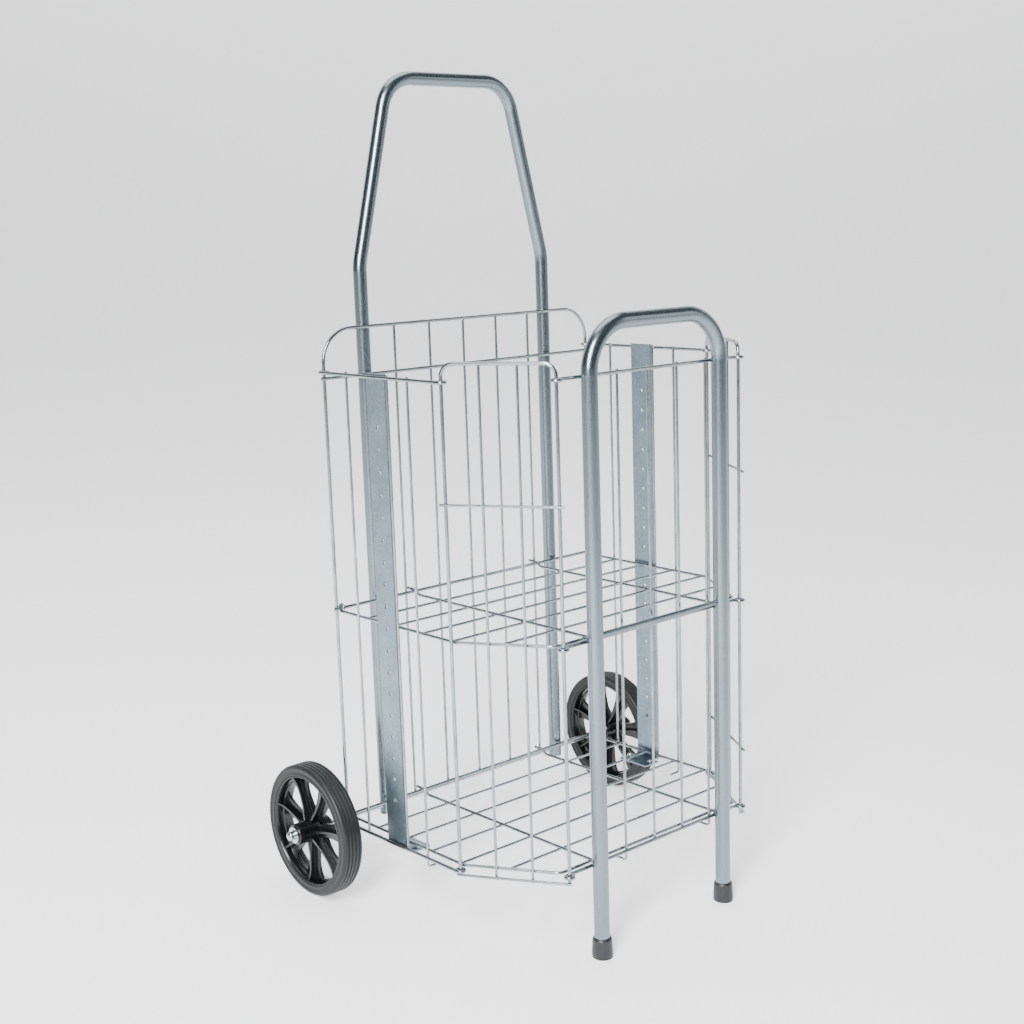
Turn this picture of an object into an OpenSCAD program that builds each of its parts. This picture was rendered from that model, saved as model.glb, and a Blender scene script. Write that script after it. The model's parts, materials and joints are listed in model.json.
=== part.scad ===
// Folding two-wheeled wire shopping cart, standing on its two wheels and two rubber feet.
// Everything is drawn in the cart's own upright frame (axle at z = 0, rear wires at y = 0,
// +Y to the rear), then module standing() tips it back and sets it on the floor.

/* [Basket] */
// Distance between the rear corner wires
basket_w = 410; // [330:5:500]
// Distance between the front corner wires
front_w = 280; // [230:2:340]
// Distance from the rear panel's rails to the front corner wires
basket_depth = 306; // [230:2:380]
// Distance from the rear panel's rails to the knee where the side and corner panels meet
side_depth = 203; // [150:1:260]
// Height of the side rim above the axle
rim_z = 531; // [430:1:640]
// Height of the rail that the shelf turns on, above the axle
shelf_z = 259; // [180:1:330]
// Height of the rail that the bottom grid turns on, above the axle
bottom_z = 9; // [8:0.5:20]
// Rise of the rear panel's arched top above the side rim
rear_rise = 47; // [30:1:90]
// Rise of the corner panels' arched tops above the side rim
corner_rise = 19; // [17:1:40]

/* [Wire] */
// Diameter of rails, loops and grid borders
rail_d = 4; // [3.5:0.1:5]
// Diameter of the thinner filling wires
wire_d = 3; // [2.4:0.1:3.4]
// Diameter of the grids' borders and stiffeners
grid_d = 3.5; // [3:0.1:4]
// Half distance between the two front-to-back stiffeners of each grid
stiffener_x = 98.5; // [70:0.5:100]
// Distance between the upright wires of the rear panel
rear_pitch = 52; // [51.5:0.1:60]
// Distance between the upright wires of the front panel
front_pitch = 46; // [36:1:46]
// Height of the corner panels' stiffening wire above the axle
brace_z = 404; // [330:1:480]
// Height of the extra low stiffening wire on the right corner panel
low_brace_z = 74; // [40:1:120]

/* [Perforated straps] */
// Width of each strap
strap_w = 33; // [24:1:36]
// Thickness of each strap
strap_t = 1.8; // [1:0.1:2]
// Distance of the strap's centre line from the rear panel's rails
strap_y = 94; // [85:1:110]
// Distance between strap holes
hole_pitch = 25; // [20:0.5:30]
// Diameter of the strap holes
hole_d = 4.4; // [3:0.1:7]
// Number of holes in each strap
hole_count = 18; // [8:1:18]
// Length of the strap's bent tab along the basket
tab_l = 46; // [44:1:60]
// Width of the strap's bent tab across the basket
tab_w = 20; // [18:1:24]

/* [Tubes] */
// Outer diameter of the handle tube
handle_d = 16; // [14:0.5:19]
// Outer diameter of the front stand tube
stand_d = 17.5; // [16:0.5:20]
// Wall thickness of both tubes
tube_t = 1.5; // [1:0.1:2]
// Half distance between the handle tube's legs
handle_x = 141; // [125:1:150]
// Half width of the handle tube's top, where its bends would meet
grip_x = 90; // [70:1:110]
// Height of the elbows above the axle
elbow_z = 647; // [600:1:760]
// Height of the hand grip above the axle
grip_z = 855; // [780:1:1000]
// Bend radius at the hand grip
grip_bend = 42; // [30:1:50]
// Bend radius at the elbows
elbow_bend = 60; // [40:1:140]
// Half distance between the stand tube's legs
stand_x = 100; // [80:1:105]
// Height of the stand tube's top above the axle
stand_z = 587; // [560:1:760]
// Bend radius of the stand tube
stand_bend = 52; // [35:1:60]
// Diameter of the rod between the stand legs
rod_d = 6; // [5:0.5:9]
// Length of the rubber feet
foot_l = 22; // [18:1:34]
// Wall thickness of the rubber feet
foot_wall = 2; // [1.5:0.25:4]
// How much wider the soles are than the upper part of the feet, all round
foot_flare = 0.8; // [0:0.1:3]
// Thickness of the rubber soles, measured along the leg
sole_t = 6; // [4:0.5:10]

/* [Wheels] */
// Outer diameter of the tyres
wheel_d = 156; // [130:1:190]
// Width of the tyres
tyre_w = 26; // [18:1:30]
// Radial thickness of the tyres
tyre_t = 13; // [10:0.5:20]
// Distance of each wheel's middle outboard of the basket's corner wires
wheel_out = 41; // [38:1:95]
// Number of spokes
spokes = 7; // [5:1:8]
// Diameter of the hubs
hub_d = 27; // [20:1:32]
// Length of the hub inboard of the wheel's centre plane
hub_in = 18; // [14:1:22]
// Length of the hub outboard of the wheel's centre plane
hub_out = 28; // [16:1:34]
// Diameter of the axle rod
axle_d = 6; // [5:0.5:8]
// Diameter of the axle washers
washer_d = 19; // [15:0.5:22]
// Thickness of the axle washers
washer_t = 1.5; // [1:0.1:2.5]

/* [Stance] */
// Angle by which the standing cart leans back
lean = 3.5; // [1:0.5:6]

/* [Hidden] */

zinc = "#b9c0c3";
tube_silver = "#a9b3b8";
strap_zinc = "#8d9aa0";
black_plastic = "#1c1d20";
black_rubber = "#2a2b2e";

// Gap of a curled wire end round the wire that it turns on
eye_gap = 0.3;
// Depth by which crossing wires are welded into each other
weld = 0.4;
// Gap between pieces that only touch
touch = 0.05;
// Radial gap of the wheels on the axle
run_gap = 0.08;
// Extra diameter of bends, and how far straight runs reach into them
bend_swell = 0.06;
bend_join = 0.3;
// Gap left where one piece rests on another that moves
rest_gap = 0.3;
// How far a wire's end curls round the wire that it holds
curl = 280;
// Distances between the centre lines of wires welded across each other
rail_lap = rail_d - weld;
wire_lap = (rail_d + wire_d) / 2 - weld;
grid_lap = (grid_d + wire_d) / 2 - weld;
// Radius of a curled end's centre line, for panels and for grids
panel_curl_r = rail_d + eye_gap;
grid_curl_r = (rail_d + grid_d) / 2 + eye_gap;
// How far rails, and wires, reach past what they cross
rail_over = 6;
wire_over = 3;
// Extra length of a cutting tool past the face that it cuts
clear = 1;

// Rear panel: rails at y = 0, with the arched loop and the upright wires behind them
rear_loop_y = rail_lap;
rear_wire_y = wire_lap;
rear_rail_drop = 7;
rear_rail_z = rim_z - rear_rail_drop;
rear_top_z = rim_z + rear_rise;
rear_bend = 38;
loop_end = 5.5;
rear_wires = [-2, -1, 0, 1, 2];
// Side panels: rails run outboard of the corner wires, with the upright wires inboard of them
side_rail_x = basket_w / 2 + panel_curl_r;
side_wire_x = side_rail_x - wire_lap;
side_low_gap = 0.7;
side_low_z = bottom_z - grid_curl_r - (grid_d + rail_d) / 2 - side_low_gap;
side_wire_gap = 1;
side_wire_pitch = 35;
side_wire_near = strap_y + strap_w / 2 + wire_d / 2 + side_wire_gap;
side_wire_far = side_wire_near + side_wire_pitch;
side_wire_rear = 40;
// Corner panels run from the knee to the front corner wire
knee = [-basket_w / 2, -side_depth];
front_corner = [-front_w / 2, -basket_depth];
corner_l = norm(front_corner - knee);
corner_a = atan2(front_corner.y - knee.y, front_corner.x - knee.x);
corner_top_z = rim_z + corner_rise;
corner_bend = 13;
corner_low_gap = 0.5;
corner_low_z = side_low_z - (rail_d + wire_d) / 2 - corner_low_gap;
// Front panel: rails run behind the front corner wires, with the upright wires behind them
front_rail_y = -basket_depth + panel_curl_r;
front_wire_y = front_rail_y + wire_lap;
front_top_z = rim_z + rail_d / 2;
// Grids: the border and cross wires hang this far below the rail that they turn on
grid_drop = grid_curl_r;
border_gap = 1;
border_side_gap = 1.25;
border_front_gap = 1;
border_x = basket_w / 2 - (rail_d + grid_d) / 2 - border_side_gap;
border_y = -front_wire_y - (wire_d + grid_d) / 2 - border_front_gap;
stiffener_up = grid_lap;
cross_wires = 5;
// Spaces between cross wires from the rear rail to the basket's knee
cross_spaces = 4.12;
cross_pitch = side_depth / cross_spaces;
border_bend = 10;
// Stiffeners: from over the front rail they slope up and end over the rear rail
stiffener_bend = 6;
slope_start = -16;
slope_end = -7;
stiffener_end = 6;
stiffener_lip = 0.5;
// Front rails that the stiffeners rest on, measured down from each grid's hinge rail
front_rail_drop = grid_drop - stiffener_up + (grid_d + rail_d) / 2 + rest_gap;
// Hooked ends of some upright wires, below the bottom grid
hook_drop = 12;
hook_reach = 15;
hook_bend = 4;
// Tubes
handle_y = rear_loop_y + rail_d / 2 + handle_d / 2 + touch;
stand_y = front_rail_y - rail_d / 2 - stand_d / 2 - touch;
handle_end = 10;
rod_up = 2;
sole_cut = 10;
wheel_x = basket_w / 2 + wheel_out;
wheel_r = wheel_d / 2;
axle_r = axle_d / 2;
tyre_r = wheel_r - tyre_t;
// Front to back, the cart reaches from the tyres to the feet
stand_foot_z = floor_z(stand_y);
sole_r = stand_d / 2 + foot_wall + foot_flare;
front_reach = handle_y - placed([0, stand_y, stand_foot_z]).y + sole_r / cos(lean);
shift_y = (front_reach - wheel_r) / 2 - handle_y;

// Straps: the inboard face of the left one, which lies against the inside of the side rails
strap_face_x = -side_rail_x + rail_d / 2 + touch + strap_t;
strap_over = 4;
first_hole_drop = 54;
tab_drop = 2.5;
tab_top_z = side_low_z - tab_drop;
plate_in = 4;
plate_t = 1.8;
// Rivets: place on the tab, and the size of their flat and domed heads
rivet_d = 4;
rivet_x = strap_face_x + tab_w - 6;
rivet_spread = tab_l / 2 - 5;
flat_head_r = 3.2;
flat_head_t = 1.2;
dome_head_r = 3.6;
dome_head_t = 2.2;
// Axle, its collars and what holds the wheels on it
hub_end = wheel_x + hub_out;
washer_gap = 0.3;
cap_l = 8;
cap_fit = 5;
axle_end = hub_end + washer_gap + washer_t + cap_fit;
collar_x = wheel_x - hub_in - washer_gap - washer_t - washer_gap;
collar_t = 2;
collar_d = 1.5 * axle_d;

// Point of the cart's frame once it leans, before the shift that centres the cart
function placed(p) = [p.x, handle_y + (p.y - handle_y) * cos(lean) + p.z * sin(lean),
    wheel_r - (p.y - handle_y) * sin(lean) + p.z * cos(lean)];
// Height of the floor in the cart's own frame, at depth y
function floor_z(y) = ((y - handle_y) * sin(lean) - wheel_r) / cos(lean);
function unit(v) = v / norm(v);
// Signed turn of a path at b
function turn(a, b, c) =
    let (u = unit(b - a), v = unit(c - b)) atan2(u.x * v.y - u.y * v.x, u * v);
// Length that a bend of radius r takes off each side of the corner b
function trim(a, b, c, r) = r * abs(tan(turn(a, b, c) / 2));

// The slanted sides of the grids' border, a fixed distance inside the corner panels
bevel_in = rail_d / 2 + border_gap + grid_d / 2;
bevel_dir = unit(front_corner - knee);
bevel_point = knee + bevel_in * [-bevel_dir.y, bevel_dir.x];
bevel_slope = bevel_dir.x / -bevel_dir.y;
bevel_start = -bevel_point.y + (-border_x - bevel_point.x) / bevel_slope;
bevel_x = border_x - (border_y - bevel_start) * bevel_slope;
// Half width of the border at distance d in front of the rear rails
function border_half(d) = min(border_x, border_x - (d - bevel_start) * bevel_slope);

// Sets the cart on the floor: leans it back about its axle and centres it
module standing() {
    translate([0, handle_y + shift_y, wheel_r])
        rotate([-lean, 0, 0])
            translate([0, -handle_y, 0])
                children();
}

// Right-hand twin of a left-hand piece
module twin() {
    mirror([1, 0, 0])
        children();
}

// Planes to bend wire in: across the cart, along its side and along the left corner panel
module upright_across(y) {
    translate([0, y, 0])
        rotate([90, 0, 0])
            children();
}

module upright_corner() {
    translate([knee.x, knee.y, 0])
        rotate([0, 0, corner_a])
            rotate([90, 0, 0])
                children();
}

// Straight round bar between two points
module bar(p, q, d) {
    v = q - p;
    translate(p)
        rotate([0, acos(v.z / norm(v)), atan2(v.y, v.x)])
            cylinder(h = norm(v), d = d, $fn = 16);
}

// Bent run of a bar of diameter d: radius r, from angle a through sweep degrees
module arc_bar(r, a, sweep, d) {
    rotate([0, 0, a])
        rotate_extrude(angle = sweep, $fn = 40)
            translate([r, 0])
                circle(d = d + bend_swell, $fn = 16);
}

// Round bar bent in its own plane: straight runs joined by arcs, radii[i] at corner i + 1
module bent_bar(pts, radii, d) {
    last = len(pts) - 1;
    for (i = [0:last - 1]) {
        u = unit(pts[i + 1] - pts[i]);
        cut_a = i == 0 ? 0 : trim(pts[i - 1], pts[i], pts[i + 1], radii[i - 1]) - bend_join;
        cut_b = i == last - 1 ? 0 : trim(pts[i], pts[i + 1], pts[i + 2], radii[i]) - bend_join;
        a = pts[i] + u * cut_a;
        b = pts[i + 1] - u * cut_b;
        bar([a.x, a.y, 0], [b.x, b.y, 0], d);
    }
    for (i = [1:last - 1]) {
        r = radii[i - 1];
        t = turn(pts[i - 1], pts[i], pts[i + 1]);
        u = unit(pts[i] - pts[i - 1]);
        start = pts[i] - u * trim(pts[i - 1], pts[i], pts[i + 1], r);
        side = sign(t);
        centre = start + side * r * [-u.y, u.x];
        from_a = atan2(start.y - centre.y, start.x - centre.x);
        translate([centre.x, centre.y, 0])
            arc_bar(r, side > 0 ? from_a : from_a + t, abs(t), d);
    }
}

// Hollow tube bent in its own plane, open at both ends
module bent_tube(pts, radii, d) {
    last = len(pts) - 1;
    inner = [for (i = [0:last]) i == 0 || i == last ? pts[i] - [0, 1] : pts[i]];
    difference() {
        bent_bar(pts, radii, d);
        bent_bar(inner, radii, d - 2 * tube_t);
    }
}

module handle_tube() {
    path = [[-handle_x, -handle_end], [-handle_x, elbow_z], [-grip_x, grip_z],
        [grip_x, grip_z], [handle_x, elbow_z], [handle_x, -handle_end]];
    color(tube_silver)
        standing()
            difference() {
                upright_across(handle_y)
                    bent_tube(path, [elbow_bend, grip_bend, grip_bend, elbow_bend], handle_d);
                for (side = [-1, 1])
                    bar([side * (handle_x - handle_d), handle_y, 0],
                        [side * (handle_x + handle_d), handle_y, 0], axle_d + 2 * touch);
            }
}

module front_stand_tube() {
    foot = stand_foot_z + sole_t;
    path = [[-stand_x, foot], [-stand_x, stand_z], [stand_x, stand_z], [stand_x, foot]];
    color(tube_silver)
        standing()
            upright_across(stand_y)
                bent_tube(path, [stand_bend, stand_bend], stand_d);
}

// Rod welded between the stand's legs, level with the shelf
module stand_rod() {
    half = stand_x - stand_d / 2 + touch;
    z = shelf_z + rod_up;
    color(tube_silver)
        standing()
            difference() {
                bar([-half, stand_y, z], [half, stand_y, z], rod_d);
                for (side = [-1, 1])
                    bar([side * stand_x, stand_y, z - stand_d],
                        [side * stand_x, stand_y, z + stand_d], stand_d + 2 * touch);
            }
}

// Rubber cap on the left leg, its sole cut level with the floor
module foot_cap() {
    r_in = stand_d / 2 + touch;
    r_out = stand_d / 2 + foot_wall;
    flare_top = 5;
    lip = 1;
    profile = [[0, -sole_cut], [sole_r, -sole_cut], [sole_r, flare_top], [r_out, foot_l - 2 * lip],
        [r_out - lip, foot_l], [r_in, foot_l], [r_in, sole_t], [0, sole_t]];
    translate([-stand_x, stand_y, stand_foot_z])
        rotate_extrude($fn = 72)
            polygon(profile);
}

module left_foot() {
    reach = 2 * stand_x;
    depth = basket_depth + wheel_d;
    color(black_rubber)
        intersection() {
            standing()
                foot_cap();
            translate([-reach, -depth, 0])
                cube([reach, 2 * depth, 4 * foot_l]);
        }
}

module right_foot() {
    twin()
        left_foot();
}

module rear_panel() {
    half = basket_w / 2;
    loop = [[-half, -loop_end], [-half, rear_top_z], [half, rear_top_z], [half, -loop_end]];
    color(zinc)
        standing() {
            upright_across(rear_loop_y)
                bent_bar(loop, [rear_bend, rear_bend], rail_d);
            for (z = [bottom_z, shelf_z, rear_rail_z])
                bar([-half - rail_over, 0, z], [half + rail_over, 0, z], rail_d);
            for (i = rear_wires)
                bar([i * rear_pitch, rear_wire_y, bottom_z - wire_over],
                    [i * rear_pitch, rear_wire_y, rear_top_z], wire_d);
        }
}

module left_side_panel() {
    x = -side_wire_x;
    foot_z = side_low_z - hook_drop;
    color(zinc)
        standing() {
            for (z = [side_low_z, rim_z]) {
                bar([-side_rail_x, rear_loop_y + bend_join, z], [-side_rail_x, -side_depth - bend_join, z],
                    rail_d);
                translate([-basket_w / 2, rear_loop_y, z])
                    arc_bar(panel_curl_r, 180 - curl, curl, rail_d);
                translate([knee.x, knee.y, z])
                    arc_bar(panel_curl_r, 180, curl, rail_d);
            }
            for (d = [side_wire_rear, side_wire_near])
                bar([x, -d, side_low_z - wire_over], [x, -d, rim_z + wire_over], wire_d);
            upright_across(-side_wire_far)
                bent_bar([[x, rim_z + wire_over], [x, foot_z], [x + hook_reach, foot_z]],
                    [hook_bend], wire_d);
        }
}

module right_side_panel() {
    twin()
        left_side_panel();
}

// Arched corner panel, with its stiffening wires at the heights given
module corner_panel(braces) {
    loop = [[0, -loop_end], [0, corner_top_z], [corner_l, corner_top_z], [corner_l, -loop_end]];
    upright_corner() {
        bent_bar(loop, [corner_bend, corner_bend], rail_d);
        for (i = [1, 2])
            bar([i * corner_l / 3, corner_low_z - wire_over, 0],
                [i * corner_l / 3, corner_top_z, 0], wire_d);
        for (z = braces)
            bar([-rail_over, z, wire_lap], [corner_l + rail_over, z, wire_lap], wire_d);
        bar([-wire_over, corner_low_z, wire_lap], [corner_l + wire_over, corner_low_z, wire_lap],
            wire_d);
    }
}

module left_corner_panel() {
    color(zinc)
        standing()
            corner_panel([brace_z]);
}

module right_corner_panel() {
    color(zinc)
        standing()
            twin()
                corner_panel([brace_z, low_brace_z]);
}

module front_panel() {
    half = front_w / 2;
    low = bottom_z - front_rail_drop;
    top = front_top_z + wire_over;
    color(zinc)
        standing() {
            for (z = [low, shelf_z - front_rail_drop, front_top_z]) {
                bar([-half - bend_join, front_rail_y, z], [half + bend_join, front_rail_y, z], rail_d);
                translate([-half, -basket_depth, z])
                    arc_bar(panel_curl_r, 90, curl, rail_d);
                translate([half, -basket_depth, z])
                    arc_bar(panel_curl_r, 90 - curl, curl, rail_d);
            }
            for (i = [-2, 0, 1])
                bar([i * front_pitch, front_wire_y, low - wire_over],
                    [i * front_pitch, front_wire_y, top], wire_d);
            for (i = [-1, 2])
                translate([i * front_pitch, 0, 0])
                    rotate([90, 0, 90])
                        bent_bar([[front_wire_y, top], [front_wire_y, low - hook_drop],
                            [front_wire_y + hook_reach, low - hook_drop]], [hook_bend], wire_d);
        }
}

// Wire grid drawn about the rail that it turns on: its border hangs under the rail
module grid() {
    border = [[-border_x, bend_join], [-border_x, -bevel_start], [-bevel_x, -border_y],
        [bevel_x, -border_y], [border_x, -bevel_start], [border_x, bend_join]];
    tip_y = front_rail_y - rail_d / 2 + stiffener_lip;
    flat_z = stiffener_up - grid_drop;
    translate([0, 0, -grid_drop])
        bent_bar(border, [for (i = [1:4]) border_bend], grid_d);
    for (side = [-1, 1]) {
        translate([side * border_x, 0, 0])
            rotate([90, 0, 90])
                arc_bar(grid_curl_r, -90, curl, grid_d);
        translate([side * stiffener_x, 0, 0])
            rotate([90, 0, 90])
                bent_bar([[tip_y, flat_z], [slope_start, flat_z], [slope_end, grid_drop],
                    [stiffener_end, grid_drop]], [stiffener_bend, stiffener_bend], grid_d);
    }
    for (i = [1:cross_wires]) {
        half = border_half(i * cross_pitch);
        bar([-half, -i * cross_pitch, -grid_drop], [half, -i * cross_pitch, -grid_drop], wire_d);
    }
}

module shelf_grid() {
    color(zinc)
        standing()
            translate([0, 0, shelf_z])
                grid();
}

module bottom_grid() {
    color(zinc)
        standing()
            translate([0, 0, bottom_z])
                grid();
}

module left_strap() {
    top = rim_z + strap_over;
    first_hole = rim_z - first_hole_drop;
    outer = strap_face_x - strap_t;
    color(strap_zinc)
        standing()
            difference() {
                union() {
                    translate([outer, -strap_y - strap_w / 2, tab_top_z - strap_t])
                        cube([strap_t, strap_w, top - tab_top_z + strap_t]);
                    translate([outer, -strap_y - strap_w / 2, tab_top_z - strap_t])
                        cube([tab_w, strap_w, strap_t]);
                }
                for (i = [0:hole_count - 1])
                    bar([outer - clear, -strap_y, first_hole - i * hole_pitch],
                        [outer + strap_t + clear, -strap_y, first_hole - i * hole_pitch], hole_d);
                for (side = [-1, 1])
                    bar([rivet_x, -strap_y + side * rivet_spread, tab_top_z - strap_t - clear],
                        [rivet_x, -strap_y + side * rivet_spread, tab_top_z + clear],
                        rivet_d + 2 * touch);
            }
}

module right_strap() {
    twin()
        left_strap();
}

// Plate riveted under the strap's tab
module left_tab_plate() {
    low = tab_top_z - strap_t - touch - plate_t;
    color(strap_zinc)
        standing()
            difference() {
                translate([strap_face_x + plate_in, -strap_y - tab_l / 2, low])
                    cube([tab_w + plate_in, tab_l, plate_t]);
                for (side = [-1, 1])
                    bar([rivet_x, -strap_y + side * rivet_spread, low - clear],
                        [rivet_x, -strap_y + side * rivet_spread, tab_top_z], rivet_d + 2 * touch);
            }
}

module right_tab_plate() {
    twin()
        left_tab_plate();
}

// Round-headed rivets through the tab and the plate
module left_tab_rivets() {
    low = tab_top_z - strap_t - plate_t - 2 * touch;
    under_head = tab_top_z + touch - low;
    dome = [for (i = [0:6]) [dome_head_r * cos(i * 15), under_head + dome_head_t * sin(i * 15)]];
    profile = concat([[0, -flat_head_t], [flat_head_r, -flat_head_t], [flat_head_r, 0],
        [rivet_d / 2, 0], [rivet_d / 2, under_head]], dome);
    color(zinc)
        standing()
            for (side = [-1, 1])
                translate([rivet_x, -strap_y + side * rivet_spread, low])
                    rotate_extrude($fn = 48)
                        polygon(profile);
}

module right_tab_rivets() {
    twin()
        left_tab_rivets();
}

// Places a profile turned about the axle, with its own z pointing outboard on the left side
module on_left_axle(x) {
    standing()
        translate([-x, handle_y, 0])
            rotate([0, -90, 0])
                children();
}

// Rod through both legs of the handle tube, with a collar upset inboard of each wheel
module axle() {
    color(zinc)
        standing() {
            bar([-axle_end, handle_y, 0], [axle_end, handle_y, 0], axle_d);
            for (side = [-1, 1])
                bar([side * (collar_x - collar_t), handle_y, 0], [side * collar_x, handle_y, 0], collar_d);
        }
}

// Moulded wheel: deep rim, ribbed spokes and a long hub
module left_wheel() {
    rim_t = 3;
    rim_w = tyre_w - 1;
    web_t = 4;
    rib_t = 3;
    rib_w = 15;
    reach = tyre_r - rim_t;
    web = [[0, -6], [reach - 16, -7], [reach - 6, -10], [reach, -16],
        [reach, 16], [reach - 6, 10], [reach - 16, 7], [0, 6]];
    color(black_plastic)
        on_left_axle(wheel_x)
            difference() {
                union() {
                    rotate_extrude($fn = 128)
                        polygon([[tyre_r - rim_t, -rim_w / 2], [tyre_r, -rim_w / 2], [tyre_r, rim_w / 2],
                            [tyre_r - rim_t, rim_w / 2], [tyre_r - rim_t - 1, web_t / 2],
                            [tyre_r - rim_t - 1, -web_t / 2]]);
                    translate([0, 0, -hub_in])
                        cylinder(h = hub_in + hub_out, d = hub_d, $fn = 96);
                    for (i = [0:spokes - 1])
                        rotate([0, 0, i * 360 / spokes]) {
                            translate([0, 0, -web_t / 2])
                                linear_extrude(web_t)
                                    polygon(web);
                            translate([0, -rib_t / 2, -rib_w / 2])
                                cube([reach, rib_t, rib_w]);
                        }
                }
                translate([0, 0, -hub_in - 1])
                    cylinder(h = hub_in + hub_out + 2, r = axle_r + run_gap, $fn = 64);
            }
}

module right_wheel() {
    twin()
        left_wheel();
}

// Solid rubber tyre with round shoulders and grooves round its tread
module left_tyre() {
    shoulder = 4;
    groove = 1.2;
    half = tyre_w / 2;
    grooves = [-6, 0, 6];
    steps = 6;
    arc = [for (i = [0:steps]) i * 90 / steps];
    outline = concat(
        [[tyre_r, -half], [wheel_r - shoulder, -half]],
        [for (a = arc) [wheel_r - shoulder + shoulder * sin(a), -half + shoulder - shoulder * cos(a)]],
        [for (g = grooves, k = [[-groove, 0], [-groove / 2, -groove], [groove / 2, -groove], [groove, 0]])
            [wheel_r + k.y, g + k.x]],
        [for (a = arc) [wheel_r - shoulder + shoulder * cos(a), half - shoulder + shoulder * sin(a)]],
        [[tyre_r, half]]);
    color(black_rubber)
        on_left_axle(wheel_x)
            rotate_extrude($fn = 128)
                polygon(outline);
}

module right_tyre() {
    twin()
        left_tyre();
}

module washer() {
    difference() {
        cylinder(h = washer_t, d = washer_d, $fn = 72);
        translate([0, 0, -1])
            cylinder(h = washer_t + 2, r = axle_r + touch, $fn = 64);
    }
}

module left_inner_washer() {
    color(zinc)
        on_left_axle(wheel_x - hub_in - washer_gap - washer_t)
            washer();
}

module right_inner_washer() {
    twin()
        left_inner_washer();
}

module left_outer_washer() {
    color(zinc)
        on_left_axle(hub_end + washer_gap)
            washer();
}

module right_outer_washer() {
    twin()
        left_outer_washer();
}

// Pressed cap over the axle's end
module left_axle_cap() {
    r = axle_r + 2;
    dome = [for (i = [0:6]) [r * cos(i * 15), cap_l - r * 0.6 + r * 0.6 * sin(i * 15)]];
    color(zinc)
        on_left_axle(hub_end + washer_gap + washer_t + touch)
            difference() {
                rotate_extrude($fn = 64)
                    polygon(concat([[0, 0], [r + 1.2, 0], [r + 1.2, 1.2], [r, 1.2]], dome));
                translate([0, 0, -1])
                    cylinder(h = cap_l - 2, r = axle_r + touch, $fn = 64);
            }
}

module right_axle_cap() {
    twin()
        left_axle_cap();
}

handle_tube();
front_stand_tube();
stand_rod();
left_foot();
right_foot();
rear_panel();
left_side_panel();
right_side_panel();
left_corner_panel();
right_corner_panel();
front_panel();
shelf_grid();
bottom_grid();
left_strap();
right_strap();
left_tab_plate();
right_tab_plate();
left_tab_rivets();
right_tab_rivets();
axle();
left_wheel();
right_wheel();
left_tyre();
right_tyre();
left_inner_washer();
right_inner_washer();
left_outer_washer();
right_outer_washer();
left_axle_cap();
right_axle_cap();
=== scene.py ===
import json
import logging
import math
from dataclasses import dataclass
from enum import Enum
from typing import Any, Sequence

import bmesh
import bpy
from mathutils import Matrix, Vector, noise


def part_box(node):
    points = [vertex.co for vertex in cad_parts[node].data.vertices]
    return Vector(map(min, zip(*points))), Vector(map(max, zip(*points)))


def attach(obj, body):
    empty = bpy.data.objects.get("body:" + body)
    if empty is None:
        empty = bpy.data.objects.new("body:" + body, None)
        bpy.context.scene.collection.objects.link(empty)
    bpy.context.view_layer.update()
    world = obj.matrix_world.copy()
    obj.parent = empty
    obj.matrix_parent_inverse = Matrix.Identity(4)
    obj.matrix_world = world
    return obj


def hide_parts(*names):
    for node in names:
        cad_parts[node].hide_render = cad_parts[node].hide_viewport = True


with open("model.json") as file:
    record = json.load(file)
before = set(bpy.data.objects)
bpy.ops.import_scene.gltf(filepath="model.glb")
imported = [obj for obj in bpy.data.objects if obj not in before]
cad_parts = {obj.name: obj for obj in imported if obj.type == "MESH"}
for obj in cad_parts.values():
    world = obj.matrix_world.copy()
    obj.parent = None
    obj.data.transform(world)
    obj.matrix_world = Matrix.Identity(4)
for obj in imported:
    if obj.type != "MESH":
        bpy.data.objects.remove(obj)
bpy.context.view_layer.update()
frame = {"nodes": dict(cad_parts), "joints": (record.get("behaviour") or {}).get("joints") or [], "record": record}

log = logging.getLogger("shopping_cart")

MM = 0.001
Point = Sequence[float]


# ---------------------------------------------------------------- small helpers
def linear_colour(srgb_hex: str) -> tuple[float, float, float, float]:
    """Turns an sRGB hex colour into the linear values that shaders take.

    Args:
        srgb_hex: a colour such as "#A9B3B8".

    Returns:
        Red, green, blue and alpha, each from 0 to 1.
    """
    text = srgb_hex.lstrip("#")
    channels = [int(text[i:i + 2], 16) / 255 for i in (0, 2, 4)]
    values = [c / 12.92 if c <= 0.04045 else ((c + 0.055) / 1.055) ** 2.4 for c in channels]
    return (values[0], values[1], values[2], 1.0)


def add_node(tree: bpy.types.NodeTree, kind: str, settings: dict[Any, Any] | None = None,
             links: dict[Any, bpy.types.NodeSocket] | None = None) -> bpy.types.Node:
    """Adds one shader node with its settings and incoming links.

    Args:
        tree: the node tree that gets the node.
        kind: Blender's type name of the node.
        settings: values by property name, or by input name or number.
        links: output sockets by the name or number of the input they feed.

    Returns:
        The new node.
    """
    node = tree.nodes.new(kind)
    for key, value in (settings or {}).items():
        if isinstance(key, str) and key not in node.inputs and hasattr(node, key):
            setattr(node, key, value)
        else:
            node.inputs[key].default_value = value
    for key, socket in (links or {}).items():
        tree.links.new(socket, node.inputs[key])
    return node


def set_ramp(ramp_node: bpy.types.Node, stops: Sequence[tuple[float, str]]) -> None:
    """Sets the colour stops of a ramp node from (place, sRGB hex) pairs."""
    ramp = ramp_node.color_ramp
    while len(ramp.elements) < len(stops):
        ramp.elements.new(0.5)
    for element, (place, colour) in zip(ramp.elements, stops):
        element.position = place
        element.color = linear_colour(colour)


def per_metre(size_mm: float) -> float:
    """Texture scale that gives a pattern features of size_mm, for coordinates in metres."""
    return 1.0 / (size_mm * MM)


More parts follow.
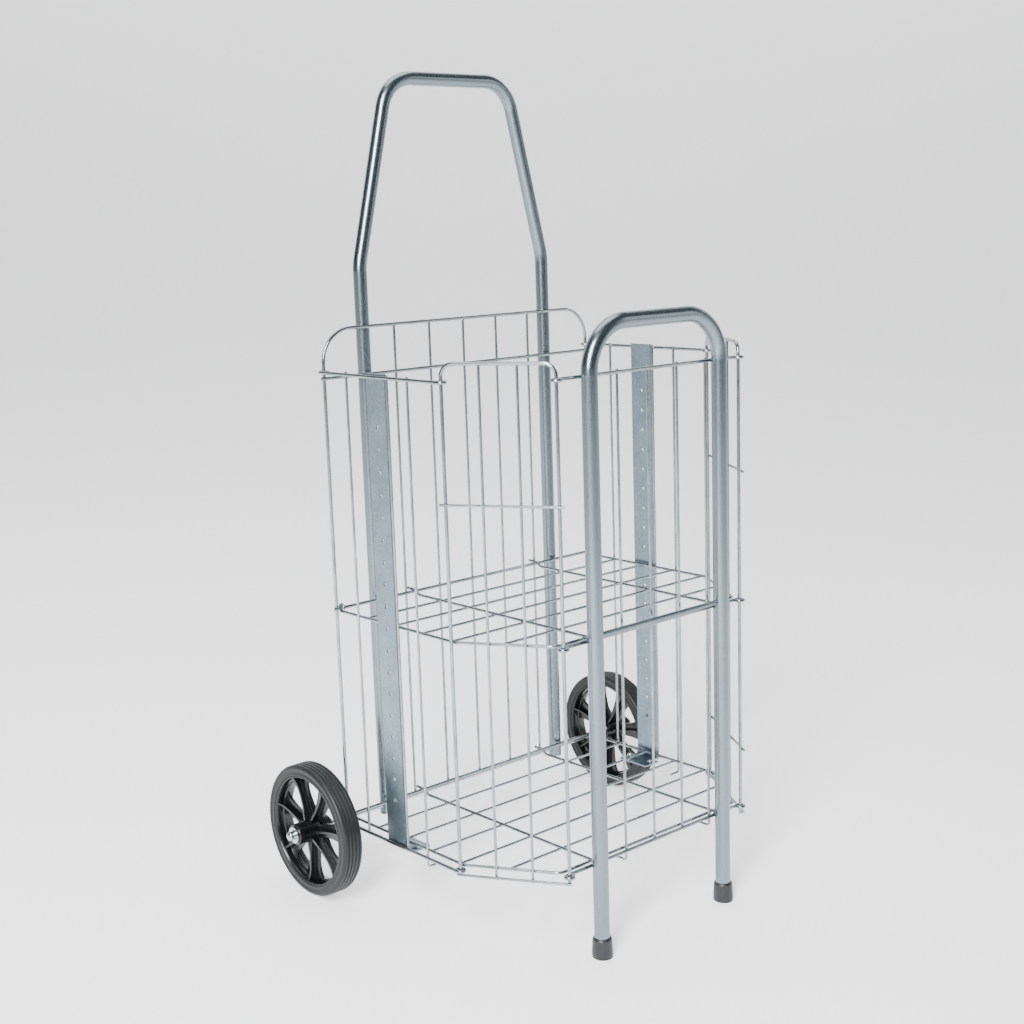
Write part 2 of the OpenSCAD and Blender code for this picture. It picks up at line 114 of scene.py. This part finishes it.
# ---------------------------------------------------------------- finishes
class Lay(Enum):
    """Which way a metal surface's fine marks run, in the part's own directions."""
    UPRIGHT = (6.0, 6.0, 0.35)
    ROUND = (2.0, 2.0, 2.0)
    ROLLED = (3.0, 3.0, 0.12)


@dataclass(frozen=True)
class PlatedSteel:
    """Zinc plated or silver lacquered steel: bright, a little cloudy, with drawn or rolled marks."""
    name: str
    light: str
    dark: str
    roughness: float
    cloud_mm: float
    mark_mm: float
    lay: Lay
    bump_mm: float
    spangle_mm: float = 0.0
    spangle_share: float = 0.35
    coat: float = 0.0
    coat_roughness: float = 0.12

    def build(self) -> bpy.types.Material:
        """Builds the material.

        Returns:
            A procedural metal whose colour and gloss drift slowly and whose bump follows its marks.
        """
        mat = bpy.data.materials.new(self.name)
        mat.use_nodes = True
        tree = mat.node_tree
        tree.nodes.clear()
        where = add_node(tree, "ShaderNodeTexCoord")
        cloud = add_node(tree, "ShaderNodeTexNoise",
                         {"Scale": per_metre(self.cloud_mm), "Detail": 4.0, "Roughness": 0.6},
                         {"Vector": where.outputs["Object"]})
        stretched = add_node(tree, "ShaderNodeMapping", {"Scale": self.lay.value},
                             {"Vector": where.outputs["Object"]})
        marks = add_node(tree, "ShaderNodeTexNoise",
                         {"Scale": per_metre(self.mark_mm) / 6.0, "Detail": 3.0, "Roughness": 0.55},
                         {"Vector": stretched.outputs["Vector"]})
        drift = cloud.outputs["Fac"]
        if self.spangle_mm > 0:
            spangle = add_node(tree, "ShaderNodeTexVoronoi",
                               {"Scale": per_metre(self.spangle_mm), "Randomness": 1.0},
                               {"Vector": where.outputs["Object"]})
            grey = add_node(tree, "ShaderNodeRGBToBW", links={"Color": spangle.outputs["Color"]})
            drift = add_node(tree, "ShaderNodeMix", {"data_type": "FLOAT", 0: self.spangle_share},
                             {2: cloud.outputs["Fac"], 3: grey.outputs["Val"]}).outputs[0]
        tint = add_node(tree, "ShaderNodeValToRGB", links={"Fac": drift})
        set_ramp(tint, [(0.32, self.dark), (0.68, self.light)])
        gloss = add_node(tree, "ShaderNodeMapRange",
                         {"To Min": self.roughness * 0.8, "To Max": self.roughness * 1.3},
                         {"Value": marks.outputs["Fac"]})
        bump = add_node(tree, "ShaderNodeBump", {"Strength": 0.6, "Distance": self.bump_mm * MM},
                        {"Height": marks.outputs["Fac"]})
        shader = add_node(tree, "ShaderNodeBsdfPrincipled",
                          {"Metallic": 1.0, "Coat Weight": self.coat,
                           "Coat Roughness": self.coat_roughness},
                          {"Base Color": tint.outputs["Color"], "Roughness": gloss.outputs["Result"],
                           "Normal": bump.outputs["Normal"]})
        add_node(tree, "ShaderNodeOutputMaterial", links={"Surface": shader.outputs["BSDF"]})
        return mat


@dataclass(frozen=True)
class Moulded:
    """Moulded plastic or rubber: dark, with a fine skin, soft wear and a little dust."""
    name: str
    base: str
    worn: str
    roughness: float
    skin_mm: float
    wear_mm: float
    bump_mm: float
    ior: float
    wear_amount: float

    def build(self) -> bpy.types.Material:
        """Builds the material.

        Returns:
            A procedural plastic or rubber with a moulded skin and uneven gloss.
        """
        mat = bpy.data.materials.new(self.name)
        mat.use_nodes = True
        tree = mat.node_tree
        tree.nodes.clear()
        where = add_node(tree, "ShaderNodeTexCoord")
        skin = add_node(tree, "ShaderNodeTexNoise",
                        {"Scale": per_metre(self.skin_mm), "Detail": 2.0, "Roughness": 0.5},
                        {"Vector": where.outputs["Object"]})
        wear = add_node(tree, "ShaderNodeTexNoise",
                        {"Scale": per_metre(self.wear_mm), "Detail": 5.0, "Roughness": 0.65},
                        {"Vector": where.outputs["Object"]})
        tint = add_node(tree, "ShaderNodeValToRGB", links={"Fac": wear.outputs["Fac"]})
        set_ramp(tint, [(0.5 - self.wear_amount / 2, self.base), (0.5 + self.wear_amount, self.worn)])
        gloss = add_node(tree, "ShaderNodeMapRange",
                         {"To Min": self.roughness * 0.8, "To Max": min(1.0, self.roughness * 1.25)},
                         {"Value": wear.outputs["Fac"]})
        bump = add_node(tree, "ShaderNodeBump", {"Strength": 0.5, "Distance": self.bump_mm * MM},
                        {"Height": skin.outputs["Fac"]})
        shader = add_node(tree, "ShaderNodeBsdfPrincipled", {"IOR": self.ior},
                          {"Base Color": tint.outputs["Color"], "Roughness": gloss.outputs["Result"],
                           "Normal": bump.outputs["Normal"]})
        add_node(tree, "ShaderNodeOutputMaterial", links={"Surface": shader.outputs["BSDF"]})
        return mat


# Steel tube in silver lacquer: a soft highlight down each leg, under a thin clear coat.
TUBE_SILVER = PlatedSteel("silver_lacquered_tube", "#7D8990", "#758188", 0.25, 160, 0.8, Lay.UPRIGHT,
                          0.0012, coat=0.15)
# Drawn wire in bright zinc: a hard, thin highlight with dark edges.
WIRE_ZINC = PlatedSteel("bright_zinc_wire", "#A2A9AC", "#828A8E", 0.20, 25, 0.5, Lay.ROUND, 0.004)
# Rolled flat steel in blue zinc: flat, cloudy and slightly spangled.
STRAP_ZINC = PlatedSteel("blue_zinc_strap", "#8C9CA6", "#778791", 0.34, 30, 0.5, Lay.ROLLED, 0.006,
                         spangle_mm=2.5)
# Turned and pressed small parts in bright zinc.
HARDWARE_ZINC = PlatedSteel("bright_zinc_hardware", "#CDD1D3", "#A6ACB0", 0.22, 6, 0.5, Lay.ROUND, 0.01)
# Glossy polypropylene: deep black with soft, slightly wavy reflections.
WHEEL_PLASTIC = Moulded("glossy_black_polypropylene", "#08090A", "#0F1113", 0.24, 1.2, 22, 0.010, 1.49, 0.3)
# Tyre rubber: charcoal, with a dry bloom.
TYRE_RUBBER = Moulded("charcoal_tyre_rubber", "#0E1012", "#1A1C1F", 0.50, 0.7, 14, 0.05, 1.45, 0.25)
# Foot rubber: darker and smoother than the tyres.
FOOT_RUBBER = Moulded("charcoal_foot_rubber", "#191B1D", "#26292C", 0.46, 0.7, 9, 0.04, 1.52, 0.25)


# ---------------------------------------------------------------- the cart's own directions
@dataclass(frozen=True)
class Stance:
    """Where the leaning cart stands: its own frame has z = 0 at the axle and y = 0 at the rear rails."""
    origin: Vector
    lean: float

    @classmethod
    def from_joints(cls, joints: Sequence[dict[str, Any]]) -> "Stance":
        """Reads the stance from the hinges of the shelf, the bottom grid and a wheel.

        Args:
            joints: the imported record's joints.

        Returns:
            The stance of the cart at rest.
        """
        at = {j["name"]: Vector(j["pos_m"]) for j in joints}
        shelf, bottom, wheel = at["shelf_fold"], at["bottom_fold"], at["left_wheel_spin"]
        up = (shelf - bottom).normalized()
        return cls(shelf + up * (wheel - shelf).dot(up), math.atan2(up.y, up.z))

    @property
    def matrix(self) -> Matrix:
        """From the cart's own frame to the floor's frame."""
        return Matrix.Translation(self.origin) @ Matrix.Rotation(-self.lean, 4, "X")


STANCE = Stance.from_joints(frame["joints"])


# ---------------------------------------------------------------- mesh building
class Builder:
    """Collects one piece's geometry, in metres, and turns it into an object that rides on a body."""

    def __init__(self, name: str, at: Matrix | None = None) -> None:
        """Starts an empty piece.

        Args:
            name: the piece's name.
            at: matrix that takes drawn points to the floor's frame; the cart's stance if left out.
        """
        self.name = name
        self.at = at if at is not None else STANCE.matrix
        self.bm = bmesh.new()

    def lathe(self, profile: Sequence[tuple[float, float]], centre: Point, axis: Point, segments: int = 96,
              closed: bool = True) -> None:
        """Turns a profile about an axis.

        Args:
            profile: (radius, distance along the axis) points.
            centre: the axis's zero point.
            axis: the axis's direction.
            segments: how many steps round.
            closed: joins the last profile point to the first.
        """
        turn = Vector((0, 0, 1)).rotation_difference(Vector(axis)).to_matrix().to_4x4()
        place = Matrix.Translation(Vector(centre)) @ turn
        rings: list[list[bmesh.types.BMVert]] = []
        for radius, along in profile:
            if radius < 1e-7:
                rings.append([self.bm.verts.new(place @ Vector((0, 0, along)))])
                continue
            ring = []
            for i in range(segments):
                a = 2 * math.pi * i / segments
                point = Vector((radius * math.cos(a), radius * math.sin(a), along))
                ring.append(self.bm.verts.new(place @ point))
            rings.append(ring)
        pairs = list(zip(rings, rings[1:])) + ([(rings[-1], rings[0])] if closed else [])
        for low, high in pairs:
            self._skin(low, high)

    def _skin(self, low: list[bmesh.types.BMVert], high: list[bmesh.types.BMVert]) -> None:
        """Joins two rings, either of which may be a single point."""
        if len(low) == 1 and len(high) == 1:
            return
        count = max(len(low), len(high))
        for i in range(count):
            j = (i + 1) % count
            corners = [low[i % len(low)], low[j % len(low)], high[j % len(high)], high[i % len(high)]]
            unique = list(dict.fromkeys(corners))
            if len(unique) >= 3:
                self.bm.faces.new(unique)

    def loft(self, sections: Sequence[Sequence[Point]], caps: bool = True) -> None:
        """Joins closed sections of equal length into one skin.

        Args:
            sections: the outlines, in order.
            caps: closes both ends.
        """
        rings = [[self.bm.verts.new(Vector(p)) for p in section] for section in sections]
        for low, high in zip(rings, rings[1:]):
            self._skin(low, high)
        if caps:
            self.bm.faces.new(list(reversed(rings[0])))
            self.bm.faces.new(rings[-1])

    def nugget(self, centre: Point, radii: Point, seed: int) -> None:
        """Adds a spot weld's small uneven bulge of metal.

        Args:
            centre: where the two wires meet.
            radii: its size along x, y and z.
            seed: makes each one a little different.
        """
        place = Matrix.Translation(Vector(centre)) @ Matrix.Diagonal((*radii, 1.0))
        made = bmesh.ops.create_icosphere(self.bm, subdivisions=2, radius=1.0, matrix=place)
        for vert in made["verts"]:
            out = vert.co - Vector(centre)
            shift = noise.noise(out / (0.9 * MM) + Vector((seed * 3.1, seed * 1.7, 0)))
            vert.co = Vector(centre) + out * (1 + 0.12 * shift)

    def finish(self, body: str, finish: bpy.types.Material, slot: str, replaces: Sequence[str] = (),
               bevel_mm: float = 0.0, sharp_deg: float = 30.0) -> bpy.types.Object:
        """Makes the object, dresses it and sets what it rides on.

        Args:
            body: the CAD body that it moves with.
            finish: its material.
            slot: the record's material slot; not used.
            replaces: CAD nodes that it stands for.
            bevel_mm: width of a rounding on its sharp edges.
            sharp_deg: edges sharper than this stay crisp.

        Returns:
            The finished object.
        """
        bmesh.ops.transform(self.bm, matrix=self.at, verts=self.bm.verts)
        bmesh.ops.recalc_face_normals(self.bm, faces=self.bm.faces)
        mesh = bpy.data.meshes.new(self.name)
        self.bm.to_mesh(mesh)
        self.bm.free()
        for polygon in mesh.polygons:
            polygon.use_smooth = True
        mesh.set_sharp_from_angle(angle=math.radians(sharp_deg))
        obj = bpy.data.objects.new(self.name, mesh)
        bpy.context.scene.collection.objects.link(obj)
        if bevel_mm > 0:
            bevel = obj.modifiers.new("rounded_edges", "BEVEL")
            bevel.width = bevel_mm * MM
            bevel.segments = 2
            bevel.limit_method = "ANGLE"
            bevel.angle_limit = math.radians(sharp_deg)
            bevel.harden_normals = True
        mesh.materials.append(finish)
        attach(obj, body)
        if replaces:
            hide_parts(*replaces)
        log.info("%s: %d faces on %s", self.name, len(mesh.polygons), body)
        return obj


class Side(Enum):
    """The cart's left and right, as seen from the stand."""
    LEFT = -1
    RIGHT = 1

    @property
    def word(self) -> str:
        """The side's name."""
        return self.name.lower()


# ---------------------------------------------------------------- wheels
@dataclass
class RollingWheel:
    """A moulded wheel and its tyre. Sizes are in metres."""
    side: Side
    plastic: bpy.types.Material
    rubber: bpy.types.Material
    radius: float = 0.078
    tyre_width: float = 0.026
    rim_radius: float = 0.065
    rim_wall: float = 0.003
    spokes: int = 7
    first_spoke: float = 0.22
    web_half: float = 0.0019
    rib_half: float = 0.0015
    hub_radius: float = 0.0135
    hub_in: float = 0.018
    hub_out: float = 0.028
    bore_radius: float = 0.00308
    groove_places: tuple[float, ...] = (-0.0072, -0.0024, 0.0024, 0.0072)
    groove_depth: float = 0.0012
    groove_half: float = 0.0009
    shoulder: float = 0.0042

    def __post_init__(self) -> None:
        """Finds the wheel's centre from its tyre."""
        low, high = (Vector(c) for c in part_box(f"{self.side.word}_tyre"))
        self.centre = (low + high) / 2
        self.out = Vector((self.side.value, 0, 0))

    def build_tyre(self) -> bpy.types.Object:
        """Turns the tyre: grooved tread, round shoulders and a raised bead by the rim."""
        half, r = self.tyre_width / 2, self.radius
        outline = [(self.rim_radius, -half + 0.0012), (self.rim_radius + 0.0006, -half + 0.0002),
                   (self.rim_radius + 0.0022, -half), (self.rim_radius + 0.0030, -half + 0.0006),
                   (r - self.shoulder - 0.0016, -half + 0.0006), (r - self.shoulder - 0.0008, -half)]
        for i in range(7):
            a = math.pi / 2 * i / 6
            outline.append((r - self.shoulder + self.shoulder * math.sin(a),
                            -half + self.shoulder * (1 - math.cos(a))))
        for g in self.groove_places:
            mid_r, mid_half = r - self.groove_depth * 0.7, self.groove_half * 0.7
            outline += [(r, g - self.groove_half), (mid_r, g - mid_half), (r - self.groove_depth, g),
                        (mid_r, g + mid_half), (r, g + self.groove_half)]
        outline += [(p[0], -p[1]) for p in reversed(outline[:13])]
        piece = Builder(f"{self.side.word}_tyre_rubber", Matrix.Identity(4))
        piece.lathe(outline, self.centre, self.out, 160)
        return piece.finish(f"{self.side.word}_wheel_body", self.rubber, "tyre_rubber",
                            [f"{self.side.word}_tyre"], sharp_deg=38)

    def _spoke_section(self, r: float, web: float, rib: float) -> list[tuple[float, float, float]]:
        """Plus-shaped section of a spoke at radius r: (along the radius, across, outboard)."""
        t, b = self.web_half, self.rib_half
        flat = [(-web, -t), (-b, -t), (-b, -rib), (b, -rib), (b, -t), (web, -t),
                (web, t), (b, t), (b, rib), (-b, rib), (-b, t), (-web, t)]
        return [(r, across, out) for across, out in flat]

    def build_wheel(self) -> bpy.types.Object:
        """Builds the deep rim, the ribbed spokes and the long hub as one moulding."""
        name = self.side.word
        piece = Builder(f"{name}_wheel_moulding", Matrix.Identity(4))
        half = self.tyre_width / 2 - 0.0008
        r, wall = self.rim_radius, self.rim_wall
        piece.lathe([(r, -half), (r, half), (r - 0.0012, half), (r - wall * 0.8, half - 0.0018),
                     (r - wall, half - 0.0040), (r - wall - 0.0006, 0.0030), (r - wall - 0.0022, 0.0020),
                     (r - wall - 0.0022, -0.0020), (r - wall - 0.0006, -0.0030), (r - wall, -half + 0.0040),
                     (r - wall * 0.8, -half + 0.0018), (r - 0.0012, -half)], self.centre, self.out, 144)
        h = self.hub_radius
        piece.lathe([(self.bore_radius, -self.hub_in), (h - 0.0022, -self.hub_in),
                     (h - 0.0012, -self.hub_in + 0.001),
                     (h - 0.0006, -0.0060), (h, -0.0040), (h, 0.0040), (h - 0.0006, 0.0060),
                     (h - 0.0012, self.hub_out - 0.0060), (h - 0.0016, self.hub_out - 0.0010),
                     (h - 0.0026, self.hub_out), (self.bore_radius, self.hub_out)],
                    self.centre, self.out, 96)
        reach = r - wall * 0.6
        # Each station: radius, half width of the flat web, half height of the rib across it
        stations = [(0.009, 0.0066, 0.0110), (0.018, 0.0072, 0.0100), (0.028, 0.0080, 0.0080),
                    (0.040, 0.0094, 0.0072), (0.050, 0.0116, 0.0074), (0.056, 0.0138, 0.0084),
                    (0.060, 0.0165, 0.0096), (reach, 0.0200, 0.0112)]
        for i in range(self.spokes):
            a = 2 * math.pi * i / self.spokes + self.first_spoke
            along = Vector((0, math.cos(a), math.sin(a)))
            across = self.out.cross(along)
            sections = []
            for radius, web, rib in stations:
                sections.append([self.centre + along * p[0] + across * p[1] + self.out * p[2]
                                 for p in self._spoke_section(radius, web, rib)])
            piece.loft(sections)
        return piece.finish(f"{name}_wheel_body", self.plastic, "wheel_plastic", [f"{name}_wheel"],
                            bevel_mm=0.45, sharp_deg=35)


# ---------------------------------------------------------------- wire panels
@dataclass
class SpotWelds:
    """The small bulges of metal where wires are welded. Sizes are in millimetres, in the cart's frame."""
    zinc: bpy.types.Material
    basket_w: float = 410
    front_w: float = 280
    basket_depth: float = 306
    side_depth: float = 203
    rim: float = 531
    shelf: float = 259
    bottom: float = 9
    rear_top: float = 578
    rear_wires: tuple[float, ...] = (-104, -52, 0, 52, 104)
    front_wires: tuple[float, ...] = (-92, -46, 0, 46, 92)
    side_wires: tuple[float, ...] = (40, 113, 148)
    front_rail_y: float = -301.7
    front_rail_drop: float = 5.25
    side_rail_x: float = 209.3
    side_low: float = 0.5
    corner_top: float = 550
    corner_low: float = -3.5
    brace: float = 404
    low_brace: float = 74
    grid_drop: float = 4.05
    stiffener_x: float = 98.5
    cross_pitch: float = 49.27
    cross_wires: int = 5
    rear_rail_drop: float = 7
    front_rail_rise: float = 2
    seam: float = 1.75
    top_seam: float = 1.9
    upright_y: float = 3.35
    grid_seam: float = 1.3
    wide: float = 1.9
    thin: float = 0.95
    count: int = 0

    def _spot(self, piece: Builder, x: float, y: float, z: float, flat: str) -> None:
        """Adds one weld, flattened along the axis that joins the two wires."""
        radii = [self.thin if axis == flat else self.wide for axis in "xyz"]
        self.count += 1
        piece.nugget((x * MM, y * MM, z * MM), [r * MM for r in radii], self.count)

    def build_rear(self) -> bpy.types.Object:
        """Welds of the rear panel."""
        piece = Builder("rear_panel_welds")
        for z in (self.bottom, self.shelf, self.rim - self.rear_rail_drop):
            for x in (*self.rear_wires, -self.basket_w / 2, self.basket_w / 2):
                self._spot(piece, x, self.seam, z, "y")
        for x in self.rear_wires:
            self._spot(piece, x, self.upright_y, self.rear_top - self.top_seam, "z")
        return piece.finish("frame", self.zinc, "basket_wire")

    def build_side(self, side: Side) -> bpy.types.Object:
        """Welds of one side panel."""
        piece = Builder(f"{side.word}_side_panel_welds")
        for z in (self.side_low, self.rim):
            for y in self.side_wires:
                self._spot(piece, side.value * (self.side_rail_x - self.seam), -y, z, "x")
        return piece.finish("frame", self.zinc, "basket_wire")

    def build_corner(self, side: Side) -> bpy.types.Object:
        """Welds of one corner panel, on its slanted plane."""
        piece = Builder(f"{side.word}_corner_panel_welds")
        knee = Vector((self.basket_w / 2, -self.side_depth, 0))
        tip = Vector((self.front_w / 2, -self.basket_depth, 0))
        out = Vector((-(tip - knee).y, (tip - knee).x, 0)).normalized()
        heights = [self.corner_low, self.brace] + ([self.low_brace] if side is Side.RIGHT else [])
        for z in heights:
            for share in (0.0, 1 / 3, 2 / 3, 1.0):
                at = knee.lerp(tip, share) + out * self.seam
                self._spot(piece, side.value * at.x, at.y, z, "z")
        for share in (1 / 3, 2 / 3):
            at = knee.lerp(tip, share)
            self._spot(piece, side.value * at.x, at.y, self.corner_top - self.top_seam, "z")
        return piece.finish("frame", self.zinc, "basket_wire")

    def build_front(self) -> bpy.types.Object:
        """Welds of the front panel."""
        piece = Builder("front_panel_welds")
        for z in (self.bottom - self.front_rail_drop, self.shelf - self.front_rail_drop,
                  self.rim + self.front_rail_rise):
            for x in self.front_wires:
                self._spot(piece, x, self.front_rail_y + self.seam, z, "y")
        return piece.finish("frame", self.zinc, "basket_wire")

    def build_grid(self, name: str, body: str, height: float) -> bpy.types.Object:
        """Welds of one folding grid.

        Args:
            name: the grid's name.
            body: the body that it moves with.
            height: height of the rail that it turns on.

        Returns:
            The welds, which ride on the grid.
        """
        piece = Builder(f"{name}_welds")
        z = height - self.grid_drop
        for i in range(1, self.cross_wires + 1):
            for x in (-self.stiffener_x, self.stiffener_x):
                self._spot(piece, x, -i * self.cross_pitch, z + self.grid_seam, "z")
        return piece.finish(body, self.zinc, "basket_wire")


@dataclass
class StrapHoles:
    """Pressed lips round the straps' holes. Sizes are in millimetres, in the cart's frame."""
    zinc: bpy.types.Material
    faces: tuple[float, float] = (207.25, 205.45)
    centre_y: float = -94
    first: float = 477
    pitch: float = 25
    count: int = 18
    hole_r: float = 2.2

    def build(self, side: Side) -> bpy.types.Object:
        """Presses a thin raised lip round each hole, on the strap's outboard face and its inboard one."""
        piece = Builder(f"{side.word}_strap_hole_lips")
        r = self.hole_r
        lip = [(r, -0.02), (r + 0.02, 0.16), (r + 0.16, 0.26), (r + 0.42, 0.20), (r + 0.85, 0.0),
               (r + 0.9, -0.02)]
        for i in range(self.count):
            z = self.first - i * self.pitch
            for face, out in ((self.faces[0], side.value), (self.faces[1], -side.value)):
                piece.lathe([(a * MM, b * MM) for a, b in lip],
                            (side.value * face * MM, self.centre_y * MM, z * MM), (out, 0, 0), 32)
        return piece.finish("frame", self.zinc, "strap_steel", sharp_deg=60)


# ---------------------------------------------------------------- scene
@dataclass
class Studio:
    """Pale floor, soft lights and the camera."""
    camera_at: tuple[float, float, float] = (-1.2054, -1.2721, 0.8581)
    yaw_deg: float = -42.02
    pitch_deg: float = 13.28
    roll_deg: float = 0.5
    lens_mm: float = 54.67
    paper_glow: float = 0.85

    def build_floor(self) -> bpy.types.Object:
        """Lays a wide sheet of pale paper that curves up behind the cart."""
        mesh = bpy.data.meshes.new("studio_paper")
        bm = bmesh.new()
        half, front, back, turn, rise = 12.0, -9.0, 4.0, 1.6, 6.0
        steps = 16
        angles = [math.pi / 2 * i / steps for i in range(1, steps + 1)]
        outline = [(front, 0.0), (back, 0.0)]
        outline += [(back + turn * math.sin(a), turn * (1 - math.cos(a))) for a in angles]
        outline.append((back + turn, rise))
        spin = Matrix.Rotation(math.radians(self.yaw_deg), 4, "Z")
        rows = [[bm.verts.new(spin @ Vector((x, y, z))) for x in (-half, half)] for y, z in outline]
        for low, high in zip(rows, rows[1:]):
            bm.faces.new((low[0], low[1], high[1], high[0]))
        bm.to_mesh(mesh)
        bm.free()
        for polygon in mesh.polygons:
            polygon.use_smooth = True
        mat = bpy.data.materials.new("matt_white_paper")
        mat.use_nodes = True
        tree = mat.node_tree
        shader = tree.nodes["Principled BSDF"]
        where = add_node(tree, "ShaderNodeTexCoord")
        tooth = add_node(tree, "ShaderNodeTexNoise", {"Scale": per_metre(4), "Detail": 3.0},
                         {"Vector": where.outputs["Object"]})
        tint = add_node(tree, "ShaderNodeValToRGB", links={"Fac": tooth.outputs["Fac"]})
        set_ramp(tint, [(0.3, "#F4F5F6"), (0.7, "#F9FAFA")])
        tree.links.new(tint.outputs["Color"], shader.inputs["Base Color"])
        tree.links.new(tint.outputs["Color"], shader.inputs["Emission Color"])
        shader.inputs["Emission Strength"].default_value = self.paper_glow
        shader.inputs["Roughness"].default_value = 0.9
        mesh.materials.append(mat)
        floor = bpy.data.objects.new("studio_paper", mesh)
        bpy.context.scene.collection.objects.link(floor)
        return floor

    def _area(self, name: str, place: Point, look: Point, size: tuple[float, float], watts: float) -> None:
        """Adds one soft rectangular light that looks at a point."""
        light = bpy.data.lights.new(name, "AREA")
        light.shape = "RECTANGLE"
        light.size, light.size_y = size
        light.energy = watts
        lamp = bpy.data.objects.new(name, light)
        lamp.location = place
        lamp.rotation_euler = (Vector(look) - Vector(place)).to_track_quat("-Z", "Y").to_euler()
        bpy.context.scene.collection.objects.link(lamp)

    def build_lights(self) -> None:
        """Sets three soft lights and a plain grey surround."""
        self._area("key_softbox", (-2.3, -1.3, 2.1), (-0.3, -0.2, 0.3), (0.9, 2.2), 260)
        self._area("fill_softbox", (2.6, -2.4, 1.6), (0, 0, 0.45), (0.7, 2.0), 10)
        self._area("top_softbox", (0.3, 0.9, 3.4), (0, 0, 0.3), (2.6, 2.6), 75)
        world = bpy.data.worlds.new("pale_surround")
        bpy.context.scene.world = world
        world.use_nodes = True
        tree = world.node_tree
        tree.nodes.clear()
        where = add_node(tree, "ShaderNodeTexCoord")
        split = add_node(tree, "ShaderNodeSeparateXYZ", links={"Vector": where.outputs["Generated"]})
        height = add_node(tree, "ShaderNodeMapRange", {"From Min": -0.2, "From Max": 0.9},
                          {"Value": split.outputs["Z"]})
        tint = add_node(tree, "ShaderNodeValToRGB", links={"Fac": height.outputs["Result"]})
        set_ramp(tint, [(0.0, "#6A7278"), (0.30, "#7E868C"), (1.0, "#B9C0C4")])
        back = add_node(tree, "ShaderNodeBackground", {"Strength": 0.45}, {"Color": tint.outputs["Color"]})
        add_node(tree, "ShaderNodeOutputWorld", links={"Surface": back.outputs["Background"]})

    def build_camera(self) -> None:
        """Places the camera."""
        yaw, pitch, roll = (math.radians(v) for v in (self.yaw_deg, self.pitch_deg, self.roll_deg))
        back = Vector((math.sin(yaw) * math.cos(pitch), -math.cos(yaw) * math.cos(pitch), math.sin(pitch)))
        right = Vector((math.cos(yaw), math.sin(yaw), 0))
        up = back.cross(right)
        x = right * math.cos(roll) + up * math.sin(roll)
        y = up * math.cos(roll) - right * math.sin(roll)
        data = bpy.data.cameras.new("camera")
        data.lens = self.lens_mm
        data.sensor_width = 36.0
        camera = bpy.data.objects.new("camera", data)
        turned = Matrix((x, y, back)).transposed().to_4x4()
        camera.matrix_world = Matrix.Translation(Vector(self.camera_at)) @ turned
        bpy.context.scene.collection.objects.link(camera)
        bpy.context.scene.camera = camera


def dress_cad_nodes(finishes: dict[str, bpy.types.Material]) -> None:
    """Gives each CAD node the finish of its material slot.

    Args:
        finishes: material by the record's slot name.
    """
    slots = {s["node"]: s["material_slot"] for s in frame["record"]["subparts"]}
    for name, obj in frame["nodes"].items():
        mesh = obj.data
        mesh.materials.clear()
        mesh.materials.append(finishes[slots[name]])
        log.info("%s: dressed in %s", name, finishes[slots[name]].name)


def main() -> None:
    """Builds the cart's looks and the studio round the CAD frame."""
    logging.basicConfig(level=logging.INFO, format="%(name)s: %(message)s")
    finishes = {
        "tube_steel": TUBE_SILVER.build(), "basket_wire": WIRE_ZINC.build(),
        "strap_steel": STRAP_ZINC.build(), "hardware": HARDWARE_ZINC.build(),
        "wheel_plastic": WHEEL_PLASTIC.build(),
        "tyre_rubber": TYRE_RUBBER.build(), "foot_rubber": FOOT_RUBBER.build(),
    }
    dress_cad_nodes(finishes)
    for side in Side:
        wheel = RollingWheel(side, finishes["wheel_plastic"], finishes["tyre_rubber"])
        wheel.build_tyre()
        wheel.build_wheel()
    welds = SpotWelds(finishes["basket_wire"])
    welds.build_rear()
    welds.build_front()
    for side in Side:
        welds.build_side(side)
        welds.build_corner(side)
        StrapHoles(finishes["strap_steel"]).build(side)
    welds.build_grid("shelf_grid", "shelf", welds.shelf)
    welds.build_grid("bottom_grid", "bottom", welds.bottom)
    studio = Studio()
    studio.build_floor()
    studio.build_lights()
    studio.build_camera()


if __name__ == "__main__":
    main()
